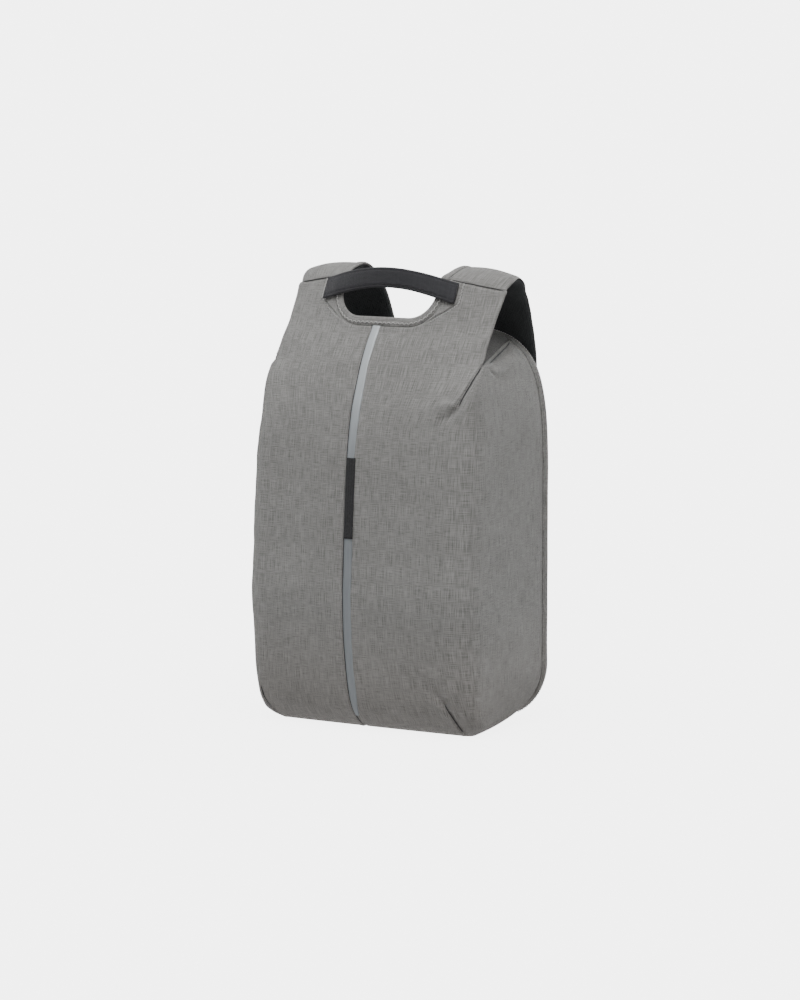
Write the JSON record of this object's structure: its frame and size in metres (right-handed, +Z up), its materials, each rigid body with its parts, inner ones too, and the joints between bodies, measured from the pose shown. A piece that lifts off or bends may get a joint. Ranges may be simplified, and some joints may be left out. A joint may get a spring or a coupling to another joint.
{
  "type": "anti theft backpack",
  "caption": "Upright day backpack with a smooth front that runs up into the shoulder straps, an offset centre strip and a padded grab handle.",
  "frame": {"origin": "middle of the flat base, on the floor", "axes": "+Z up, the front of the pouch faces -Y and the side against the wearer's back faces +Y, +X is the bag's left-hand side seen from behind"},
  "size_m": [0.2962, 0.2353, 0.5195],
  "materials": {
    "grey_fabric": "melange woven polyester, matt",
    "black_fabric": "padded plain weave, matt",
    "black_mesh": "padded spacer mesh, matt",
    "reflective": "reflective tape, satin",
    "label": "woven label, matt",
    "black_webbing": "woven webbing, matt",
    "black_plastic": "moulded plastic, satin"
  },
  "bodies": {
    "root": {"shell_right": "grey_fabric", "shell_left": "grey_fabric", "strap_cover_right": "grey_fabric", "strap_cover_left": "grey_fabric", "strap_pad_right": "black_mesh", "strap_pad_left": "black_mesh", "strap_loop_right": "black_webbing", "strap_loop_left": "black_webbing", "adjuster_right": "black_plastic", "adjuster_left": "black_plastic", "webbing_right": "black_webbing", "webbing_left": "black_webbing", "anchor_tab_right": "black_fabric", "anchor_tab_left": "black_fabric", "top_gusset": "grey_fabric", "reflective_strip": "reflective", "label_tab": "label", "neck_binding": "grey_fabric", "grab_handle": "black_fabric", "piping": "grey_fabric", "rim_band": "grey_fabric", "back_panel": "black_mesh", "base_panel": "grey_fabric"}
  },
  "joints": []
}
